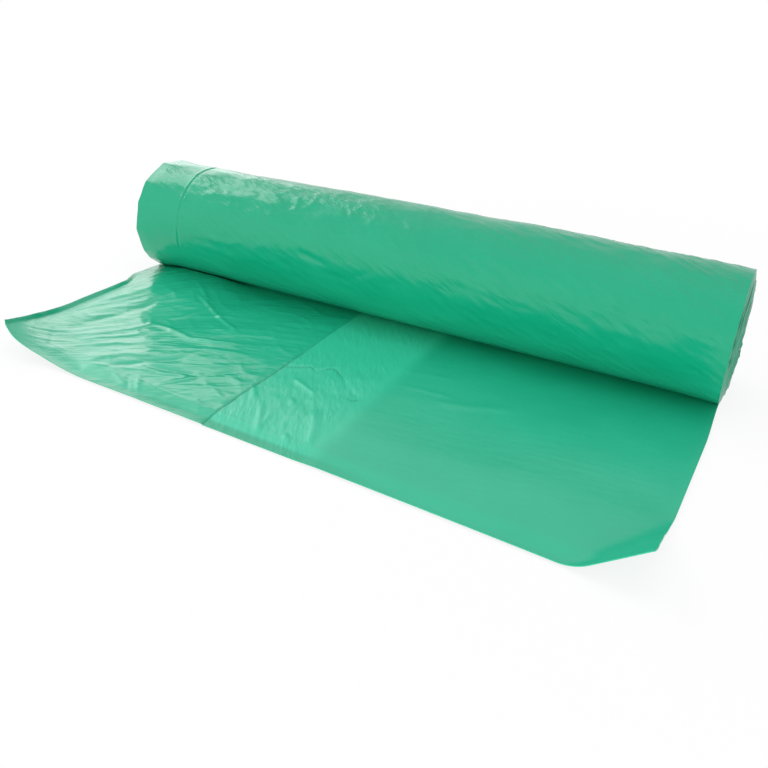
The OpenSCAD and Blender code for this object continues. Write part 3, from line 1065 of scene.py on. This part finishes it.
    def close_eyes(self, bm, web):
        """Draws the open edge in the middle of each end together, deeper in"""
        for s_end, inward in ((0.0, 1), (web.roll.length, -1)):
            x = web.left_end + s_end
            edges = [e for e in bm.edges if e.is_boundary and abs(e.verts[0].co.x - x) < self.NEAR_END]
            made = bmesh.ops.extrude_edge_only(bm, edges=edges)["geom"]
            tips = [v for v in made if isinstance(v, bmesh.types.BMVert)]
            deep = x + web.roll.slip + inward * web.roll.eye_depth
            centre = Vector((deep, 0, float(web.axis_height(np.array([s_end]))[0])))
            for tip in tips:
                tip.co = centre

    def slipped(self, roll, turn, angle):
        """How far to the right each layer has slipped, in metres"""
        settled = np.clip((turn - 1) / self.SLIP_SETS_IN, 0, 1)
        by_layer = soft_noise(turn * 2.3, np.full(len(turn), 0.5), 32)
        by_place = soft_noise(np.cos(angle) * 2.2 + turn * 1.7, np.sin(angle) * 2.2, 31)
        low = bell(np.degrees(angle) % 360, *self.LOW_SLIP)
        uneven = self.LAYER_WANDER * by_layer + self.ROUND_WANDER * by_place
        return settled * (roll.slip + MM * (uneven + self.LOW_SLIP_DEPTH * low))

    def opened(self, turn, angle):
        """How far the gap under a layer is open, from nearly shut to fully open at 1"""
        around = np.degrees(angle) % 360
        inner = smooth_step(soft_noise(np.cos(angle) * 1.6 + turn, np.sin(angle) * 1.6, 33), 0, 0.3)
        rim = sum(bell(around, at, wide) for at, wide in self.RIM_GAPS)
        open_here = inner + (rim - inner) * (1 - smooth_step(turn, *self.RIM_TURNS))
        return self.SHUT + (1 - self.SHUT) * open_here

    def line_radius(self, web, s, n, edge, lap, pitch):
        """Radius of the line between two layers, n steps in from the start of the outer turn"""
        depth = pitch * n / self.ROUND_STEPS + lap
        inside = edge * (1 - depth / (web.radius(s) + lap))
        return np.where(n < 0, edge, np.where(n == 0, web.radius(s), inside))

    def execute(self, context):
        web = Web(context.scene)
        bm = bmesh.new()
        for mesh in (self.skin(web), self.end(web, 0.0, 1), self.end(web, web.roll.length, -1)):
            bm.from_mesh(mesh)
            bpy.data.meshes.remove(mesh)
        bmesh.ops.remove_doubles(bm, verts=bm.verts, dist=self.SEAM_REACH)
        self.close_eyes(bm, web)
        mesh = bpy.data.meshes.new("wound_roll")
        bm.to_mesh(mesh)
        bm.free()
        piece = finish_mesh(mesh, "wound_roll", bpy.data.materials["satin_film"])
        hand_over(piece)
        return {"FINISHED"}


class BAGROLL_OT_loose_end(bpy.types.Operator):
    """Build the loose end: the folded web laid flat, with its wrinkles and curled corners"""
    bl_idname = "bag_roll.loose_end"
    bl_label = "Loose End"

    # Faces across the film and along it, and its thickness in metres
    COLUMNS = 296
    ROWS = 164
    FILM = 0.00035
    # How far the web runs on under the roll, as a share of the loose end's length
    TUCK = 0.03
    # Width and length of the film outside the roll in metres, and its area in square metres
    FLAT = (0.330, 0.170)
    FLAT_AREA = 0.0507
    # Width of the wrinkles in millimetres that are sharp creases, which get painted shade as dark
    # lines, and how dark and how wide the painted lines are
    CREASE_WIDTH = 1.0
    CREASE_PAINTED_SHADE = (0.6, 0.8)
    # How the columns and the rows are shared out: most densely at the folds and at the front
    COLUMN_SHARES = (0.0, 0.50, 0.55, 0.75, 1.0)
    ROW_SHARES = (0.0, 0.80, 0.92, 1.0)
    ROW_PLACES = (-TUCK, 0.86, 0.95, 1.0)
    # How pale the gussets are at the nip, and what they gain towards the front
    GUSSET_THIN = 0.2
    GUSSET_GAIN = 0.38
    # The hem, a deeper strip along the front edge: its width on the left and what it gains to
    # the right, how softly it ends, where it shows, in millimetres, and how pale it is
    HEM_WIDTH = 1.5
    HEM_GAIN = 3.5
    HEM_SOFT = 1.3
    HEM_SPAN = (5, 30, 160, 240)
    HEM_THIN = 0.25
    # How dark the painted shade in the left fold's line is, how dark the left edge is, and the line's
    # half width in metres
    FOLD_PAINTED_SHADE = 0.22
    EDGE_DARK = 0.15
    FOLD_LINE = 0.0005
    # How matt the film is beyond the left fold
    BAND_MATT = 0.45
    # Strength of the fine wrinkles everywhere, and what the left panel and the band add
    FINE_ALL_OVER = 0.16
    FINE_ON_GUSSET = 0.32
    FINE_ON_BAND = 0.95

    def hem(self, from_left, from_front):
        """1 in the hem, from distances in millimetres"""
        width = self.HEM_WIDTH + self.HEM_GAIN * smooth_step(from_left, 40, 130)
        return 1 - smooth_step(from_front, width - self.HEM_SOFT, width + self.HEM_SOFT)

    def painted_shade_and_edge(self, web, s, t, x, y, hem):
        """How deep the colour is: painted shade in the left fold's line and the sharp creases, and a
        deeper left edge
        """
        fold = self.FOLD_PAINTED_SHADE * bell(s, web.left_fold, self.FOLD_LINE) * smooth_step(t, 0.4, 0.5)
        dark = np.maximum(fold * (1 - hem), self.EDGE_DARK * (1 - smooth_step(s / MM, 1.5, 2.5)))
        for points, rise, width in LOOSE_WRINKLES:
            if width == self.CREASE_WIDTH:
                line = pressed_line(x / MM, y / MM, points, *self.CREASE_PAINTED_SHADE)
                dark = np.maximum(dark, line)
        return dark

    def fineness(self, web, s, t, x, y, in_band):
        """How strong the fine wrinkles are: most on the band, and least on the right panel"""
        in_gusset = 1 - smooth_step(s, web.left_fold - 0.004, web.left_fold)
        patchy = 0.4 + 0.6 * smooth_step(soft_noise(x / MM / 30, y / MM / 24, 23), -0.2, 0.3)
        fine = (self.FINE_ON_GUSSET * in_gusset + self.FINE_ON_BAND * in_band) * patchy
        fine = (self.FINE_ALL_OVER + fine) * smooth_step(t, 0, 0.1)
        return fine * smooth_step(abs(s - web.right_fold), 0.001, 0.008)

    def add_looks(self, mesh, web, s, t, x, y, reach):
        """What the material reads: how pale the film is, how dark it is, with painted shade in the
        left fold's line and the sharp creases, how matt and how finely wrinkled
        """
        from_left = s / MM
        from_front = reach * (1 - t) / MM
        past_left = smooth_step(s, web.left_fold - 0.0005, web.left_fold + 0.0008)
        before_right = 1 - smooth_step(s, web.right_fold - 0.004, web.right_fold + 0.006)
        in_band = past_left * before_right
        gusset = self.GUSSET_THIN + self.GUSSET_GAIN * smooth_step(t, 0.05, 0.5)
        thin = gusset + (1 - gusset) * in_band
        hem = self.hem(from_left, from_front)
        in_hem = (self.HEM_THIN - thin) * hem * plateau(from_left, *self.HEM_SPAN)
        tip = 1 - smooth_step(np.hypot(from_left, 1.2 * from_front), 12, 30)
        along, across = web.flow(s, x / MM, y / MM)
        add_attribute(mesh, "thin", thin + in_hem)
        # Painted shade in the left fold's line and the sharp creases, and a deeper left edge
        add_attribute(mesh, "gap", self.painted_shade_and_edge(web, s, t, x, y, hem))
        add_attribute(mesh, "matt", np.maximum(tip, self.BAND_MATT * past_left))
        add_grain(mesh, along, across, self.fineness(web, s, t, x, y, in_band))

    def execute(self, context):
        web = Web(context.scene)
        mesh = grid_mesh("loose_end", self.COLUMNS, self.ROWS)
        flat = read_points(mesh)
        fold = web.left_fold
        places = (0.0, fold - 0.003, fold + 0.002, web.right_fold, web.roll.length)
        s = np.interp(flat[:, 0], self.COLUMN_SHARES, places)
        t = np.interp(flat[:, 1], self.ROW_SHARES, self.ROW_PLACES)
        x, y, reach = web.laid(s, t)
        height = web.thickness(s) + web.loose_relief(s, t, x, y, reach)
        write_points(mesh, web.curled(x, y, height))
        self.add_looks(mesh, web, s, t, x, y, reach)
        piece = finish_mesh(mesh, "loose_end", bpy.data.materials["satin_film"])
        shell = piece.modifiers.new("film", "SOLIDIFY")
        shell.thickness = self.FILM
        shell.offset = -1
        hand_over(piece)
        return {"FINISHED"}


class BAGROLL_OT_studio(bpy.types.Operator):
    """Set up the floor, the lamps, the white surroundings and the camera"""
    bl_idname = "bag_roll.studio"
    bl_label = "Studio"

    # Camera solved from the outlines in the photo: place, and turns in degrees
    CAMERA_PLACE = (0.1791, -0.3925, 0.1633)
    CAMERA_YAW = -26.03
    CAMERA_PITCH = 25.31
    CAMERA_ROLL = 4.275
    CAMERA_LENS = 39.12
    # Lamps, which all aim at one point: place, width and height in metres, and whether they
    # show in reflections
    TARGET = (0.0, -0.07, 0.03)
    LAMPS = {
        "key": ((-1.18, 0.22, 1.07), (0.75, 0.75), True),
        "side": ((-1.28, 0.76, 0.51), (1.2, 0.8), True),
        "front": ((-0.75, -1.38, 0.62), (1.3, 1.1), True),
        "low": ((0.10, -1.30, 0.12), (1.6, 0.15), False),
        "top": ((0.10, -0.10, 1.50), (1.0, 1.0), False),
    }
    # Half the floor's width in metres
    FLOOR_REACH = 6.0

    def camera(self, scene):
        yaw, pitch, roll = (math.radians(a) for a in
                            (self.CAMERA_YAW, self.CAMERA_PITCH, self.CAMERA_ROLL))
        ahead = Vector((math.sin(yaw) * math.cos(pitch), math.cos(yaw) * math.cos(pitch),
                        -math.sin(pitch)))
        right = ahead.cross(Vector((0, 0, 1))).normalized()
        up = right.cross(ahead)
        side = right * math.cos(roll) + up * math.sin(roll)
        top = up * math.cos(roll) - right * math.sin(roll)
        data = bpy.data.cameras.new("photo_camera")
        data.lens = self.CAMERA_LENS
        data.sensor_width = 36.0
        camera = bpy.data.objects.new("photo_camera", data)
        turn = Matrix((side, top, -ahead)).transposed().to_4x4()
        camera.matrix_world = Matrix.Translation(self.CAMERA_PLACE) @ turn
        scene.collection.objects.link(camera)
        scene.camera = camera

    def lamp(self, scene, name, power, place, size, in_gloss):
        data = bpy.data.lights.new(name, "AREA")
        data.shape = "RECTANGLE"
        data.size, data.size_y = size
        data.energy = power
        lamp = bpy.data.objects.new(name, data)
        lamp.location = place
        aim = Vector(self.TARGET) - Vector(place)
        lamp.rotation_euler = aim.to_track_quat("-Z", "Y").to_euler()
        lamp.visible_camera = False
        lamp.visible_glossy = in_gloss
        scene.collection.objects.link(lamp)

    def execute(self, context):
        scene = context.scene
        look = scene.bag_studio_look
        bm = bmesh.new()
        bmesh.ops.create_grid(bm, x_segments=1, y_segments=1, size=self.FLOOR_REACH)
        mesh = bpy.data.meshes.new("floor")
        bm.to_mesh(mesh)
        bm.free()
        floor = bpy.data.objects.new("floor", mesh)
        mesh.materials.append(floor_material(look))
        scene.collection.objects.link(floor)
        for name, (place, size, in_gloss) in self.LAMPS.items():
            self.lamp(scene, name, getattr(look, name + "_power"), place, size, in_gloss)
        white_world(look)
        self.camera(scene)
        scene.view_settings.view_transform = "Standard"
        return {"FINISHED"}


class BAGROLL_OT_film(bpy.types.Operator):
    """Make the film's material"""
    bl_idname = "bag_roll.film"
    bl_label = "Film"

    def execute(self, context):
        film_material(context.scene.bag_film_look)
        return {"FINISHED"}


class BAGROLL_PT_panel(bpy.types.Panel):
    """Sizes, looks and the steps that build the roll"""
    bl_label = "Bin Bag Roll"
    bl_idname = "BAGROLL_PT_panel"
    bl_space_type = "VIEW_3D"
    bl_region_type = "UI"
    bl_category = "Bag Roll"

    def draw(self, context):
        layout = self.layout
        for step in STEPS:
            layout.operator(step.bl_idname)
        for name in GROUPS:
            group = getattr(context.scene, name)
            box = layout.box()
            for key in group.bl_rna.properties.keys():
                if key not in ("rna_type", "name"):
                    box.prop(group, key)


STEPS = (BAGROLL_OT_film, BAGROLL_OT_wound_roll, BAGROLL_OT_loose_end, BAGROLL_OT_studio)
GROUPS = {
    "bag_roll_sizes": RollSizes,
    "bag_loose_sizes": LooseEndSizes,
    "bag_film_look": FilmLook,
    "bag_studio_look": StudioLook,
}


def register():
    for cls in (*GROUPS.values(), *STEPS, BAGROLL_PT_panel):
        bpy.utils.register_class(cls)
    for name, cls in GROUPS.items():
        setattr(bpy.types.Scene, name, PointerProperty(type=cls))


def unregister():
    for name in GROUPS:
        delattr(bpy.types.Scene, name)
    for cls in reversed((*GROUPS.values(), *STEPS, BAGROLL_PT_panel)):
        bpy.utils.unregister_class(cls)


def main():
    register()
    bpy.ops.bag_roll.film()
    bpy.ops.bag_roll.wound_roll()
    bpy.ops.bag_roll.loose_end()
    bpy.ops.bag_roll.studio()


if __name__ == "__main__":
    main()
